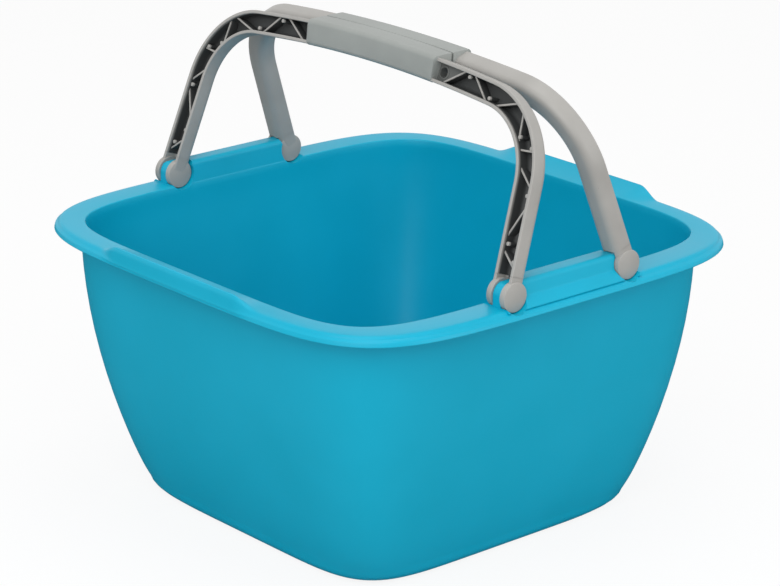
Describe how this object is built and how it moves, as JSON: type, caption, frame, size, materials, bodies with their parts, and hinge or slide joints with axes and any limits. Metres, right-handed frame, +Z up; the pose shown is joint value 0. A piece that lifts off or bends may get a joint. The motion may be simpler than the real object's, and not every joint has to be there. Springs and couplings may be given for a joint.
{
  "type": "washing up bowl",
  "caption": "Square plastic washing up bowl with a wide turned-down rim and swing-over carrying handles that meet above the middle.",
  "frame": {"origin": "middle of the underside of the base, at table height", "axes": "+Z up; X runs from one pair of handle pivots to the other; -Y is the front handle's side"},
  "size_m": [0.38, 0.3732, 0.3347],
  "materials": {
    "bowl_plastic": "blue polypropylene, satin gloss",
    "handle_plastic": "warm grey polypropylene, fine matt"
  },
  "bodies": {
    "bowl": {"bowl": "bowl_plastic"},
    "front_handle": {"front_handle": "handle_plastic"},
    "rear_handle": {"rear_handle": "handle_plastic"}
  },
  "joints": [
    {"name": "front_handle_swing", "type": "hinge", "parent": "bowl", "child": "front_handle", "pos_m": [0, -0.051, 0.205], "axis": [1, 0, 0], "range_deg": [0, 103]},
    {"name": "rear_handle_swing", "type": "hinge", "parent": "bowl", "child": "rear_handle", "pos_m": [0, 0.051, 0.205], "axis": [-1, 0, 0], "range_deg": [0, 103]}
  ]
}
